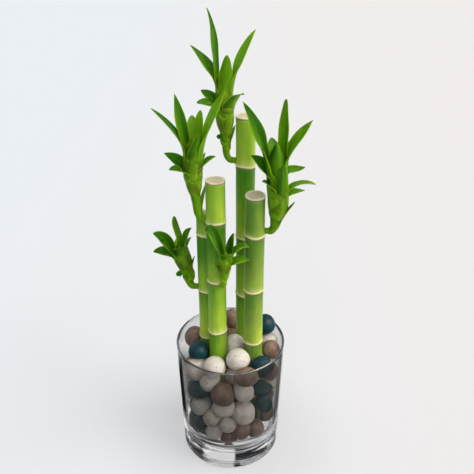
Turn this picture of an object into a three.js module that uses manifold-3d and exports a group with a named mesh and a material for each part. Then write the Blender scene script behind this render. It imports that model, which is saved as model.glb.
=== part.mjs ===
// A lucky bamboo in a clear glass tumbler: four cut canes with ringed joints, their sealed tops,
// five leafy side shoots and a fill of river pebbles. Millimetres, +Z up. The origin is the centre
// of the glass's flat underside, and -Y is the side the plant is usually looked at from.
import * as THREE from "three";
import { mergeVertices } from "three/addons/utils/BufferGeometryUtils.js";
import Module from "manifold-3d";

const wasm = await Module();
wasm.setup();

// Gap kept between pieces that rest against each other
const GAP = 0.3;

// Glass tumbler
const GLASS_HEIGHT = 98.4;
const RIM_RADIUS = 41;
const FOOT_RADIUS = 38;
const FOOT_EDGE = 1.6;
const FLOOR_Z = 19;
const FLOOR_CORNER = 7;
const WALL_AT_RIM = 1.5;
const WALL_AT_FLOOR = 2.6;
const GLASS_SIDES = 40;

// Canes: plan position, top of the seal, and the height of each ringed joint from the top down.
// slant is how far the cut top leans towards -Y, in degrees.
const CANE_RADIUS = 6.6;
const RING_RADIUS = 7.3;
const CANE_SIDES = 12;
const CANES = {
  back: { x: 10.75, y: 9, top: 270, rings: [236.5, 182.5, 134.7, 84], slant: 0 },
  front_left: { x: -9.1, y: -9, top: 233, rings: [203.2, 157.4, 114.3, 66], slant: 0 },
  front_right: { x: 16.95, y: -12, top: 223.5, rings: [195, 151, 106.6, 58], slant: 6 },
  rear_left: { x: -16.8, y: 5.5, top: 201.5, rings: [186.4, 140, 99.3, 52], slant: 0 },
};
// Outline of one joint: height from the ring's middle and radius
const RING_OUTLINE = [
  [-1.1, CANE_RADIUS - 0.05],
  [-0.5, RING_RADIUS],
  [0.5, RING_RADIUS],
  [1.8, RING_RADIUS - 0.35],
  [6, CANE_RADIUS + 0.05],
];

// Seals on the cut tops
const SEAL_THICKNESS = 1.4;
const SEAL_CHAMFER = 0.35;

// Leaf blades: leaf() says how the numbers shape a blade
const BLADE_THICKNESS = 0.8;
const BLADE_ROWS = [0, 0.2, 0.4, 0.6, 0.78, 0.92, 1];
const WIDEST_AT = 0.3;
const ROOT_SHARE = 0.8;
const TIP_SHARE = 0.07;
const BLADE_TAPER = 1.8;
const BLUNT_POWER = 0.45;
const OPENED_AT = 0.5;
const ROLLED_AT = 0.67;
const OPEN_CURL = 0.09;
const ROOT_DEPTH = 0.5;
const TIGHTEST_CURL = 3;
const RISE_ALONG = 0.3;
const RISE_OUT = 0.12;
const TIP_REACH = 0.34;
const STEM_SIDES = 8;
const STEM_STEPS = 14;

// Shoots. spine: points of the body's middle line with the radius there. leaves: the height where
// the leaf leaves the body, its tip, its width, the angle of its tip above level and how far it
// rolls about its own rib, both in degrees, and how blunt its tip is, up to 1.
const SHOOTS = {
  back: {
    colour: 0x4c8a1c,
    spine: [
      [3.1, 9, 239.5, 2.1],
      [0.3, 9, 240, 2.1],
      [-1.7, 9, 243.2, 2.2],
      [-2.2, 9, 250, 2.6],
      [-2.4, 9, 258, 3.6],
      [-2.7, 9, 267, 5.1],
      [-2.9, 9, 275, 5.8],
      [-3, 9, 282, 4.8],
      [-2.8, 9, 291, 5.1],
      [-2.7, 9, 297, 3.8],
      [-2.7, 9, 300, 1.2],
    ],
    leaves: [
      { at: 290, tip: [-13, 12, 335], width: 7.8, tilt: 66, roll: -25 },
      { at: 287, tip: [-24, 17, 312.5], width: 8.5, tilt: 38, roll: -30, blunt: 0.1 },
      { at: 285, tip: [16, 3, 324], width: 12, tilt: 54, roll: 55 },
      { at: 286, tip: [-1, -3, 310.5], width: 9.5, tilt: 80, blunt: 0.8 },
      { at: 287, tip: [-1.5, 23, 299.5], width: 10, tilt: 12, blunt: 0.3 },
      { at: 273, tip: [-18, 14, 285], width: 11, tilt: 18, roll: -25, blunt: 0.3 },
      { at: 272, tip: [-20, 1, 280.5], width: 9.5, tilt: -12, roll: -30, blunt: 0.3 },
      { at: 270, tip: [9.5, 0, 286], width: 12.5, tilt: -8, roll: -10, blunt: 0.2 },
      { at: 272, tip: [-5, 25, 281], width: 10.5, tilt: 0, blunt: 0.3 },
      { at: 250, tip: [4, 14.5, 262], width: 5, tilt: 60 },
      { at: 254, tip: [-8.2, 7.5, 256], width: 3.6, tilt: -20, blunt: 1 },
    ],
  },
  front_left_upper: {
    colour: 0x4a861b,
    spine: [
      [-16.8, -9, 205.2, 2.1],
      [-19.2, -9, 205.9, 2.3],
      [-20.8, -9, 209.5, 2.7],
      [-21.4, -9, 216, 3],
      [-22.2, -9, 223, 3.4],
      [-22.8, -9, 230, 4.5],
      [-23.2, -9, 237, 5.7],
      [-23.1, -9, 243, 5.8],
      [-22.8, -9, 249, 5.6],
      [-22.7, -9, 254, 4.6],
      [-22.6, -9, 257.5, 3],
      [-22.6, -9, 260, 1],
    ],
    leaves: [
      { at: 250, tip: [-47, -12, 281], width: 8.5, tilt: 40, roll: -20 },
      { at: 251, tip: [-33, -5, 288], width: 9.5, tilt: 78, roll: -35, blunt: 0.2 },
      { at: 252, tip: [-23.5, 3, 272], width: 10, tilt: 62, blunt: 0.8 },
      { at: 252, tip: [-17.7, -1, 276.5], width: 9, tilt: 74, blunt: 0.7 },
      { at: 249, tip: [-1.6, -15, 293], width: 13, tilt: 57, roll: 50 },
      { at: 246, tip: [-18.5, -16, 266], width: 12.5, tilt: 84, roll: 20, blunt: 0.8 },
      { at: 236, tip: [-41.5, -6, 250], width: 11.5, tilt: 12, roll: -25, blunt: 0.2 },
      { at: 235, tip: [-37.5, -17, 243], width: 9.5, tilt: -18, roll: -15, blunt: 0.2 },
      { at: 236, tip: [-8.4, -13, 250.5], width: 9, tilt: 15, roll: 25, blunt: 0.1 },
      { at: 239, tip: [-15.4, 0, 248.5], width: 5, tilt: 55 },
      { at: 236, tip: [-24, 7, 241], width: 10, tilt: -5, blunt: 0.3 },
      { at: 209, tip: [-15.6, -3.2, 227.5], width: 5, tilt: 75 },
    ],
  },
  front_right: {
    colour: 0x468019,
    spine: [
      [24.8, -12, 197.4, 2.1],
      [27.3, -12.4, 197.8, 2.1],
      [29.3, -13, 200.8, 2.4],
      [30.3, -13.5, 205, 3.4],
      [31.2, -14, 211, 5],
      [31.7, -14, 219, 6.2],
      [31.2, -14, 228, 6.3],
      [30.6, -14, 237, 6.2],
      [30, -14, 245, 6.2],
      [29.7, -14, 252, 6],
      [29.7, -14, 257, 4.8],
      [29.7, -14, 259, 1.6],
    ],
    leaves: [
      { at: 242, tip: [8.7, -18, 286.5], width: 14, tilt: 57, roll: -60 },
      { at: 247, tip: [35, -8, 285.5], width: 9.5, tilt: 85, blunt: 0.8 },
      { at: 243, tip: [51, -16, 275], width: 11.5, tilt: 50, roll: 35 },
      { at: 246, tip: [27, -2, 259], width: 10, tilt: 40, blunt: 0.6 },
      { at: 233, tip: [13.5, -17, 252.5], width: 12, tilt: 24, roll: -45, blunt: 0.1 },
      { at: 237, tip: [48.5, -10, 242], width: 9, tilt: 8, roll: 20 },
      { at: 238, tip: [37.7, -11, 245.5], width: 4, tilt: 60 },
      { at: 221, tip: [33.5, -21.5, 248], width: 9, tilt: 95, blunt: 0.9 },
      { at: 225, tip: [20.5, -24, 238], width: 9, tilt: 12, roll: -25, blunt: 0.2 },
      { at: 223, tip: [54.5, -19, 234], width: 11, tilt: -25, blunt: 0.1 },
      { at: 221, tip: [49.5, -8, 225], width: 7, tilt: -12, roll: 15 },
      { at: 224, tip: [30.5, 1.5, 229], width: 10, tilt: -5, blunt: 0.3 },
      { at: 203, tip: [42.5, -16, 220.5], width: 8, tilt: 52 },
    ],
  },
  rear_left: {
    colour: 0x3f7d18,
    spine: [
      [-24.6, 5.5, 142, 2.1],
      [-27.4, 5.5, 142.6, 2.1],
      [-29, 5.5, 145.6, 2.5],
      [-30, 5.5, 151, 3.8],
      [-31.6, 5.5, 158, 4.6],
      [-33.6, 5.5, 165, 5.5],
      [-35.3, 5.5, 170.5, 5.6],
      [-36, 5.5, 174, 4.4],
      [-36.4, 5.5, 177, 2.8],
      [-36.5, 5.5, 179, 1.2],
    ],
    leaves: [
      { at: 171, tip: [-38.5, 8.5, 198], width: 10.5, tilt: 90, blunt: 0.9 },
      { at: 168, tip: [-53.5, 2.5, 187.5], width: 12, tilt: 12, roll: -45, blunt: 0.6 },
      { at: 166, tip: [-55, 7, 170], width: 10.5, tilt: -35, roll: -25, blunt: 0.1 },
      { at: 171, tip: [-26.5, 4.5, 191], width: 9, tilt: 30, roll: 35, blunt: 0.1 },
      { at: 171, tip: [-27.6, 10.5, 180.5], width: 6, tilt: 35 },
      { at: 170, tip: [-36.5, -6, 180], width: 9, tilt: 20, blunt: 0.5 },
      { at: 171, tip: [-37, 18, 176.5], width: 8.5, tilt: 0, blunt: 0.3 },
      { at: 154, tip: [-25.4, 7, 167], width: 5.5, tilt: 70 },
      { at: 152, tip: [-38, 3.5, 152.5], width: 5.5, tilt: -70, blunt: 1 },
    ],
  },
  front_left_lower: {
    colour: 0x569322,
    spine: [
      [-5, -15.6, 157.2, 2],
      [-4.3, -17.7, 157.9, 2.1],
      [-4, -19, 161.5, 2.2],
      [-3.7, -19.7, 168, 2.8],
      [-3.3, -20.2, 175, 3.8],
      [-3, -20.6, 181, 4.4],
      [-3, -20.8, 184.5, 3.4],
      [-3, -20.8, 187, 1.2],
    ],
    leaves: [
      { at: 178, tip: [-15.8, -20.5, 202], width: 13, tilt: -55, roll: -25, blunt: 0.4 },
      { at: 180, tip: [2.8, -17.5, 198.5], width: 8.5, tilt: 65, blunt: 0.2 },
      { at: 180, tip: [12.9, -23, 190.5], width: 10.5, tilt: -50, blunt: 0.2 },
      { at: 173, tip: [13.3, -23, 181], width: 10, tilt: -15, roll: 10, blunt: 0.2 },
      { at: 166, tip: [-10.8, -22.5, 180], width: 5, tilt: 60 },
      { at: 179, tip: [-9.4, -23.5, 191], width: 4.5, tilt: 20 },
      { at: 180, tip: [-1.5, -31, 189], width: 8.5, tilt: 5, blunt: 0.3 },
    ],
  },
};

// Pebbles. The listed ones are those that show, at the mouth and behind the front wall: centre,
// width, depth and height. They give way to each other mostly along SIGHT_LINE, so that they keep
// their places as seen from the front. settle() drops the rest in around them.
const WHITE = { name: "white", colour: 0xe2d8ce };
const BROWN = { name: "brown", colour: 0x6f5a4c };
const TEAL = { name: "teal", colour: 0x16454f };
const SHOWN_PEBBLES = [
  { at: [-28.5, 14, 89], size: [15, 15, 16], kind: BROWN },
  { at: [-23.2, -3.2, 88], size: [15, 15, 16], kind: TEAL },
  { at: [-11.3, -19.5, 88.3], size: [15.5, 15, 14.5], kind: WHITE },
  { at: [2.6, -2.5, 93], size: [15, 15, 19], kind: WHITE },
  { at: [8.2, -19.5, 93], size: [16.5, 15, 16], kind: WHITE },
  { at: [1, 32.5, 92], size: [12, 13, 21], kind: BROWN },
  { at: [27.5, 18, 97.5], size: [14, 14, 16], kind: TEAL },
  { at: [23, 15, 88.5], size: [13, 13, 14], kind: WHITE },
  { at: [31, 11, 87], size: [13, 13, 13], kind: WHITE },
  { at: [31, 2, 87], size: [13.5, 13.5, 13.5], kind: BROWN },
  { at: [24.5, -22.3, 89.3], size: [17, 11.5, 16], kind: TEAL },
  { at: [11, -28.5, 87.5], size: [18.5, 12, 13], kind: BROWN },
  { at: [-1, 21, 83], size: [15, 14, 15], kind: BROWN },
  { at: [-33, -6, 74], size: [13, 13, 14], kind: BROWN },
  { at: [-22.2, -17, 66], size: [17.5, 15, 18], kind: TEAL },
  { at: [-5.9, -27.6, 70.5], size: [17.5, 15, 17.5], kind: BROWN },
  { at: [8.4, -28.3, 71], size: [16, 13, 14], kind: WHITE },
  { at: [24.5, -21.7, 70], size: [18.5, 11, 18], kind: TEAL },
  { at: [33, -6, 71], size: [13, 13, 14], kind: BROWN },
  { at: [-21.9, -19.7, 51], size: [14, 15, 15], kind: WHITE },
  { at: [-4.7, -28.6, 56], size: [17, 13, 14], kind: WHITE },
  { at: [-12.5, -27.8, 45], size: [13.5, 13, 15], kind: WHITE },
  { at: [24, -21.5, 51], size: [18.5, 11, 19], kind: TEAL },
  { at: [10.4, -26, 49], size: [18, 17, 18.5], kind: WHITE },
  { at: [-2.9, -30.9, 42], size: [13, 12, 13], kind: WHITE },
  { at: [-11.6, -28.8, 31], size: [13, 13, 14], kind: WHITE },
  { at: [-21, -22.7, 34], size: [13, 13, 14], kind: TEAL },
  { at: [-2.3, -29.5, 28.5], size: [14, 13, 12.5], kind: BROWN },
  { at: [9, -28, 31.5], size: [14, 14, 13], kind: BROWN },
  { at: [19.6, -22.5, 30], size: [14, 14, 13], kind: BROWN },
  { at: [-12.7, -20, 72.5], size: [15, 13, 14], kind: WHITE },
  { at: [33, -3, 58], size: [13, 14, 15], kind: WHITE },
];
const SIGHT_LINE = new THREE.Vector3(0, -0.87, 0.49);
const SIDE_GIVE = 0.6;
const DEPTH_GIVE = 0.9;
const SHOWN_SHARE = 0.15;
const HIDDEN_PEBBLES = 30;
const HIDDEN_FRONT = -13;
const HIDDEN_SIZE = [15, 19];
const HIDDEN_CEILING = 90;
const HIDDEN_KINDS = [WHITE, WHITE, WHITE, BROWN, BROWN, TEAL];
const SETTLE_STEPS = 700;
const SETTLE_DROP = 0.22;
const NEAR = 26;
const RING_CLEAR = 2;
const SQUEEZE = 0.93;
const SWELL = 1.12;
const JOIN_DEPTH = 0.6;
const JOIN_WITHIN = 0.8;
const JOIN_SPREAD = 0.8;
const PEBBLE_NODES = 46;
const PEBBLE_SEED = 3;

const UP = new THREE.Vector3(0, 0, 1);
const lerp = THREE.MathUtils.lerp;
const degToRad = THREE.MathUtils.degToRad;

// A repeatable draw of numbers from 0 to 1
function seededDraw(seed) {
  let state = seed;
  return () => {
    state = (state * 1664525 + 1013904223) % 4294967296;
    return state / 4294967296;
  };
}

function indexedGeometry(points, triangles) {
  const geometry = new THREE.BufferGeometry();
  geometry.setAttribute("position", new THREE.Float32BufferAttribute(points, 3));
  geometry.setIndex(triangles);
  return geometry;
}

function toSolid(geometry) {
  const bare = geometry.clone();
  bare.deleteAttribute("normal");
  bare.deleteAttribute("uv");
  const merged = mergeVertices(bare, 1e-4);
  return new wasm.Manifold(
    new wasm.Mesh({
      numProp: 3,
      vertProperties: new Float32Array(merged.attributes.position.array),
      triVerts: new Uint32Array(merged.index.array),
    }),
  );
}

function fromSolid(solid) {
  const mesh = solid.getMesh();
  return indexedGeometry(Array.from(mesh.vertProperties), Array.from(mesh.triVerts));
}

// Joins pieces into one solid. A pocket closed in between them is filled: only the largest
// surface, the outer one, is kept.
function fuse(geometries) {
  const solids = geometries.map(toSolid);
  const shells = solids.reduce((whole, solid) => whole.add(solid)).decompose();
  const larger = (one, other) => (other.volume() > one.volume() ? other : one);
  return fromSolid(shells.reduce(larger));
}

function node(name, geometry, colour, roughness, position = [0, 0, 0]) {
  const material = new THREE.MeshStandardMaterial({ color: colour, roughness, metalness: 0 });
  const mesh = new THREE.Mesh(geometry, material);
  mesh.name = name;
  mesh.position.set(...position);
  return mesh;
}

// Revolves an outline of [radius, height] points round the Z axis
function revolve(outline, sides) {
  const points = outline.map(([radius, height]) => new THREE.Vector2(radius, height));
  const geometry = new THREE.LatheGeometry(points, sides);
  geometry.rotateX(Math.PI / 2);
  return geometry;
}

function arc(x, z, radius, fromDeg, toDeg, steps) {
  const points = [];
  for (let i = 0; i <= steps; i += 1) {
    const angle = degToRad(lerp(fromDeg, toDeg, i / steps));
    points.push([x + radius * Math.cos(angle), z + radius * Math.sin(angle)]);
  }
  return points;
}

// Glass
function outerRadius(z) {
  return lerp(FOOT_RADIUS, RIM_RADIUS, z / GLASS_HEIGHT);
}

function wallThickness(z) {
  return lerp(WALL_AT_FLOOR, WALL_AT_RIM, (z - FLOOR_Z) / (GLASS_HEIGHT - FLOOR_Z));
}

// Radius of the inside at height z, with the rounded corner at the floor
function innerRadius(z) {
  const cornerTop = FLOOR_Z + FLOOR_CORNER;
  const straight = (height) => outerRadius(height) - wallThickness(height);
  if (z >= cornerTop) {
    return straight(z);
  }
  const depth = Math.min(cornerTop - z, FLOOR_CORNER);
  return straight(cornerTop) - FLOOR_CORNER + Math.sqrt(FLOOR_CORNER ** 2 - depth ** 2);
}

function glassTumbler() {
  const lip = WALL_AT_RIM / 2;
  const cornerTop = FLOOR_Z + FLOOR_CORNER;
  const outline = [
    [0, 0],
    ...arc(outerRadius(FOOT_EDGE) - FOOT_EDGE, FOOT_EDGE, FOOT_EDGE, -90, 0, 3),
    ...arc(RIM_RADIUS - lip, GLASS_HEIGHT - lip, lip, 0, 180, 4),
    ...arc(innerRadius(cornerTop) - FLOOR_CORNER, cornerTop, FLOOR_CORNER, 0, -90, 4),
    [0, FLOOR_Z],
  ];
  return node("glass_tumbler", revolve(outline, GLASS_SIDES), 0xe8f2f4, 0.02);
}

// Canes and their seals
function cane(name, { x, y, top, rings }) {
  const outline = [
    [CANE_RADIUS, top - SEAL_THICKNESS],
    [0, top - SEAL_THICKNESS],
  ];
  for (const ring of rings) {
    const joint = RING_OUTLINE.map(([height, radius]) => [radius, ring + height]);
    outline.unshift(...joint);
  }
  const foot = FLOOR_Z + GAP;
  outline.unshift([0, foot], [CANE_RADIUS, foot]);
  return node(`cane_${name}`, revolve(outline, CANE_SIDES), 0x6f9d2f, 0.45, [x, y, 0]);
}

function seal(name, { x, y, top, slant }) {
  const bottom = top - SEAL_THICKNESS;
  const geometry = revolve(
    [
      [0, bottom],
      [CANE_RADIUS, bottom],
      [CANE_RADIUS, top - SEAL_CHAMFER],
      [CANE_RADIUS - SEAL_CHAMFER, top],
      [0, top],
    ],
    CANE_SIDES,
  );
  const places = geometry.attributes.position;
  for (let i = 0; i < places.count; i += 1) {
    if (places.getZ(i) > bottom + SEAL_CHAMFER) {
      places.setZ(i, places.getZ(i) + places.getY(i) * Math.tan(degToRad(slant)));
    }
  }
  return node(`seal_${name}`, geometry, 0xb7a68c, 0.6, [x, y, 0]);
}

// A closed tube through rings of points, with a fan at each end
function tube(rings) {
  const points = [];
  const triangles = [];
  const sides = rings[0].length;
  for (const ring of rings) {
    ring.forEach((point) => points.push(...point.toArray()));
  }
  for (let i = 0; i < rings.length - 1; i += 1) {
    for (let j = 0; j < sides; j += 1) {
      const next = (j + 1) % sides;
      const [a, b] = [i * sides + j, i * sides + next];
      triangles.push(a, b, a + sides, b, b + sides, a + sides);
    }
  }
  const last = (rings.length - 1) * sides;
  for (let j = 1; j < sides - 1; j += 1) {
    triangles.push(0, j + 1, j, last, last + j, last + j + 1);
  }
  return indexedGeometry(points, triangles);
}

// The middle line of a shoot's body, with its radius
class Spine {
  constructor(rows) {
    this.curve = new THREE.CatmullRomCurve3(rows.map(([x, y, z]) => new THREE.Vector3(x, y, z)));
    this.radii = rows.map((row) => row[3]);
  }

  radius(t) {
    const place = t * (this.radii.length - 1);
    const i = Math.min(Math.floor(place), this.radii.length - 2);
    return lerp(this.radii[i], this.radii[i + 1], place - i);
  }

  // Where the spine reaches the height z
  atHeight(z) {
    let [low, high] = [0, 1];
    for (let i = 0; i < 30; i += 1) {
      const middle = (low + high) / 2;
      if (this.curve.getPoint(middle).z < z) {
        low = middle;
      } else {
        high = middle;
      }
    }
    return (low + high) / 2;
  }

  body() {
    const rings = [];
    let side = new THREE.Vector3(0, 1, 0);
    for (let i = 0; i <= STEM_STEPS; i += 1) {
      const t = i / STEM_STEPS;
      const along = this.curve.getTangent(t);
      side = side.clone().addScaledVector(along, -side.dot(along)).normalize();
      const across = along.clone().cross(side);
      const middle = this.curve.getPoint(t);
      const ring = [];
      for (let j = 0; j < STEM_SIDES; j += 1) {
        const angle = (2 * Math.PI * j) / STEM_SIDES;
        const reach = side.clone().multiplyScalar(Math.cos(angle));
        reach.addScaledVector(across, Math.sin(angle));
        ring.push(middle.clone().addScaledVector(reach, this.radius(t)));
      }
      rings.push(ring);
    }
    return tube(rings);
  }
}

// Half the blade's width at s, from 0 at the root to 1 at the tip, as a share of the widest
function bladeShape(s, blunt) {
  if (s < WIDEST_AT) {
    return lerp(ROOT_SHARE, 1, Math.sin((Math.PI / 2) * (s / WIDEST_AT)));
  }
  const beyond = (s - WIDEST_AT) / (1 - WIDEST_AT);
  return Math.max((1 - beyond ** BLADE_TAPER) ** lerp(1, BLUNT_POWER, blunt), TIP_SHARE);
}

// A blade starts inside the body, follows it upward and bends out to its tip. Its section is a
// channel that faces the body, tight at the root and shallow at the tip.
function leaf(spine, { at, tip, width, tilt, roll = 0, blunt = 0 }) {
  const t = spine.atHeight(at);
  const along = spine.curve.getTangent(t);
  const middle = spine.curve.getPoint(t);
  const radius = spine.radius(t);
  const end = new THREE.Vector3(...tip);
  const outward = end.clone().sub(middle);
  outward.addScaledVector(along, -outward.dot(along)).normalize();
  const start = middle.clone().addScaledVector(outward, radius * ROOT_DEPTH);
  const length = start.distanceTo(end);
  const level = outward.clone().setZ(0).normalize();
  const tipWay = level.multiplyScalar(Math.cos(degToRad(tilt)));
  tipWay.addScaledVector(UP, Math.sin(degToRad(tilt)));
  const rise = start.clone().addScaledVector(along, length * RISE_ALONG);
  rise.addScaledVector(outward, length * RISE_OUT);
  const reach = end.clone().addScaledVector(tipWay, -length * TIP_REACH);
  const rib = new THREE.CubicBezierCurve3(start, rise, reach, end);
  const rows = BLADE_ROWS.map((s) => {
    const ahead = rib.getTangent(s);
    const across = UP.clone().cross(outward);
    across.addScaledVector(ahead, -across.dot(ahead)).normalize();
    across.applyAxisAngle(ahead, degToRad(roll) * Math.min(s / ROLLED_AT, 1));
    const inward = ahead.clone().cross(across);
    const bend = lerp(1 / Math.max(radius, TIGHTEST_CURL), OPEN_CURL, Math.min(s / OPENED_AT, 1));
    const half = (width / 2) * bladeShape(s, blunt);
    return [-1, 0, 1].map((side) => {
      const turn = side * half * bend;
      const point = rib.getPoint(s).addScaledVector(across, Math.sin(turn) / bend);
      point.addScaledVector(inward, (1 - Math.cos(turn)) / bend);
      const face = inward.clone().multiplyScalar(Math.cos(turn));
      face.addScaledVector(across, -Math.sin(turn));
      return [
        point.clone().addScaledVector(face, -BLADE_THICKNESS / 2),
        point.clone().addScaledVector(face, BLADE_THICKNESS / 2),
      ];
    });
  });
  return sheet(rows);
}

// A closed plate from rows of [outer, inner] point pairs, both faces split alike
function sheet(rows) {
  const columns = rows[0].length;
  const points = rows.flat(2).flatMap((point) => point.toArray());
  const triangles = [];
  const outer = (i, j) => 2 * (i * columns + j);
  const inner = (i, j) => outer(i, j) + 1;
  const quad = (a, b, c, d) => triangles.push(a, b, c, a, c, d);
  for (let i = 0; i < rows.length - 1; i += 1) {
    for (let j = 0; j < columns - 1; j += 1) {
      quad(outer(i, j), outer(i, j + 1), outer(i + 1, j + 1), outer(i + 1, j));
      triangles.push(inner(i, j), inner(i + 1, j + 1), inner(i, j + 1));
      triangles.push(inner(i, j), inner(i + 1, j), inner(i + 1, j + 1));
    }
    const edge = columns - 1;
    quad(outer(i, 0), outer(i + 1, 0), inner(i + 1, 0), inner(i, 0));
    quad(outer(i, edge), inner(i, edge), inner(i + 1, edge), outer(i + 1, edge));
  }
  const top = rows.length - 1;
  for (let j = 0; j < columns - 1; j += 1) {
    quad(outer(0, j), inner(0, j), inner(0, j + 1), outer(0, j + 1));
    quad(outer(top, j), outer(top, j + 1), inner(top, j + 1), inner(top, j));
  }
  return indexedGeometry(points, triangles);
}

function shoot(name, { colour, spine, leaves }) {
  const root = spine[0].slice(0, 3);
  const line = new Spine(spine);
  const blades = leaves.map((row) => leaf(line, row));
  const geometry = fuse([line.body(), ...blades]);
  geometry.translate(-root[0], -root[1], -root[2]);
  return node(`shoot_${name}`, geometry, colour, 0.4, root);
}

// One pebble: an ellipsoid with its own turn, pressed flat where it meets what is round it
class Pebble {
  constructor(at, size, kind, shown, draw) {
    this.home = new THREE.Vector3(...at);
    this.at = this.home.clone();
    this.kind = kind;
    this.shown = shown;
    this.half = size.map((value) => value / 2);
    const sway = shown ? 0.35 : Math.PI;
    const turns = [0, 1, 2].map(() => (draw() - 0.5) * sway);
    const basis = new THREE.Matrix4().makeRotationFromEuler(new THREE.Euler(...turns));
    this.axes = [0, 1, 2].map((i) => new THREE.Vector3().setFromMatrixColumn(basis, i));
    this.walls = [];
    this.joins = [];
  }

  // How far the ellipsoid reaches along a direction
  support(way) {
    return Math.hypot(...this.axes.map((axis, i) => this.half[i] * axis.dot(way)));
  }

  // Distance from the middle to the surface along a direction
  surface(way) {
    let distance = 1 / Math.hypot(...this.axes.map((axis, i) => axis.dot(way) / this.half[i]));
    for (const { way: facing, distance: limit } of this.joins) {
      const share = facing.dot(way);
      if (share > JOIN_SPREAD) {
        distance = Math.max(distance, limit / share);
      }
    }
    for (const { way: facing, distance: limit } of this.walls) {
      const share = facing.dot(way);
      if (share > 0) {
        distance = Math.min(distance, limit / share);
      }
    }
    const outside = (reach) => {
      const point = this.at.clone().addScaledVector(way, reach);
      const low = point.z < FLOOR_Z + GAP;
      return low || Math.hypot(point.x, point.y) > innerRadius(point.z) - GAP;
    };
    while (outside(distance)) {
      distance -= 0.02;
    }
    return distance;
  }

  geometry() {
    const ball = new THREE.IcosahedronGeometry(1, 1);
    const places = ball.attributes.position;
    const way = new THREE.Vector3();
    for (let i = 0; i < places.count; i += 1) {
      way.fromBufferAttribute(places, i).normalize();
      way.multiplyScalar(this.surface(way.clone()));
      places.setXYZ(i, way.x, way.y, way.z);
    }
    return ball;
  }
}

function caneReach(stone, { rings }) {
  const half = Math.max(...stone.half) + RING_CLEAR;
  const ringed = rings.some((ring) => Math.abs(ring - stone.at.z) < half);
  return ringed ? RING_RADIUS : CANE_RADIUS;
}

// Lets the pebbles sink and push each other apart until they lie against the glass, the canes
// and their neighbours
function settle(stones) {
  const gap = new THREE.Vector3();
  for (let step = 0; step < SETTLE_STEPS; step += 1) {
    for (const stone of stones) {
      if (stone.shown) {
        const shift = stone.at.clone().sub(stone.home);
        const depth = shift.dot(SIGHT_LINE);
        shift.addScaledVector(SIGHT_LINE, -depth).multiplyScalar(SIDE_GIVE);
        stone.at.copy(stone.home).add(shift).addScaledVector(SIGHT_LINE, depth * DEPTH_GIVE);
      } else {
        stone.at.z -= SETTLE_DROP;
      }
    }
    for (let i = 0; i < stones.length; i += 1) {
      for (let j = i + 1; j < stones.length; j += 1) {
        const [one, other] = [stones[i], stones[j]];
        gap.subVectors(other.at, one.at);
        const distance = gap.length();
        if (distance < NEAR) {
          gap.divideScalar(distance);
          const overlap = SQUEEZE * (one.support(gap) + other.support(gap)) - distance;
          if (overlap > 0) {
            const share = pushShare(one, other);
            one.at.addScaledVector(gap, -overlap * share);
            other.at.addScaledVector(gap, overlap * (1 - share));
          }
        }
      }
    }
    stones.forEach(keepInside);
  }
}

// How much of an overlap the first of two pebbles gives way by
function pushShare(one, other) {
  if (one.shown === other.shown) {
    return 0.5;
  }
  return one.shown ? SHOWN_SHARE : 1 - SHOWN_SHARE;
}

function keepInside(stone) {
  for (const stalk of Object.values(CANES)) {
    const away = new THREE.Vector3(stone.at.x - stalk.x, stone.at.y - stalk.y, 0);
    const distance = away.length();
    away.divideScalar(distance);
    const needed = caneReach(stone, stalk) + GAP + SQUEEZE * stone.support(away);
    if (distance < needed) {
      stone.at.addScaledVector(away, needed - distance);
    }
  }
  const out = new THREE.Vector3(stone.at.x, stone.at.y, 0);
  const distance = Math.max(out.length(), 1e-6);
  out.divideScalar(distance);
  const height = stone.support(UP);
  const room = innerRadius(stone.at.z - 0.4 * height) - GAP - stone.support(out);
  if (distance > room) {
    stone.at.addScaledVector(out, room - distance);
  }
  stone.at.z = Math.max(stone.at.z, FLOOR_Z + GAP + height);
  if (!stone.shown) {
    stone.at.z = Math.min(stone.at.z, HIDDEN_CEILING - height);
    stone.at.y = Math.max(stone.at.y, HIDDEN_FRONT);
  }
}

// Flat limits between each pebble and what it lies against
function pressTogether(stones) {
  const way = new THREE.Vector3();
  stones.forEach((one, i) => {
    stones.forEach((other, j) => {
      way.subVectors(other.at, one.at);
      const distance = way.length();
      if (i !== j && distance < NEAR) {
        way.divideScalar(distance);
        const reach = one.support(way);
        const spare = distance - reach - other.support(way);
        const limit = reach + spare / 2;
        if (other.host === one || one.host === other) {
          one.joins.push({ way: way.clone(), distance: limit + JOIN_DEPTH });
        } else {
          one.walls.push({ way: way.clone(), distance: limit - GAP / 2 });
        }
      }
    });
    for (const stalk of Object.values(CANES)) {
      const aside = new THREE.Vector3(stalk.x - one.at.x, stalk.y - one.at.y, 0);
      const limit = aside.length() - caneReach(one, stalk) - GAP;
      one.walls.push({ way: aside.normalize(), distance: limit });
    }
  });
}

// Joins touching pebbles of one kind, the hidden ones first, until few enough pieces are left.
// Each joined pebble grows from its host, which stands by itself or hosts others.
function joinSome(stones) {
  const pairs = [];
  for (let i = 0; i < stones.length; i += 1) {
    for (let j = i + 1; j < stones.length; j += 1) {
      const [one, other] = [stones[i], stones[j]];
      const way = new THREE.Vector3().subVectors(other.at, one.at);
      const distance = way.length();
      way.divideScalar(distance);
      const spare = distance - one.support(way) - other.support(way);
      if (one.kind === other.kind && spare < JOIN_WITHIN) {
        const showing = Number(one.shown) + Number(other.shown);
        pairs.push({ one, other, rank: showing * 100 + spare });
      }
    }
  }
  pairs.sort((a, b) => a.rank - b.rank);
  let pieces = stones.length;
  for (const { one, other } of pairs) {
    const free = !one.host && !other.host && !other.hosts;
    if (pieces > PEBBLE_NODES && free) {
      other.host = one;
      one.hosts = true;
      pieces -= 1;
    }
  }
}

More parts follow.
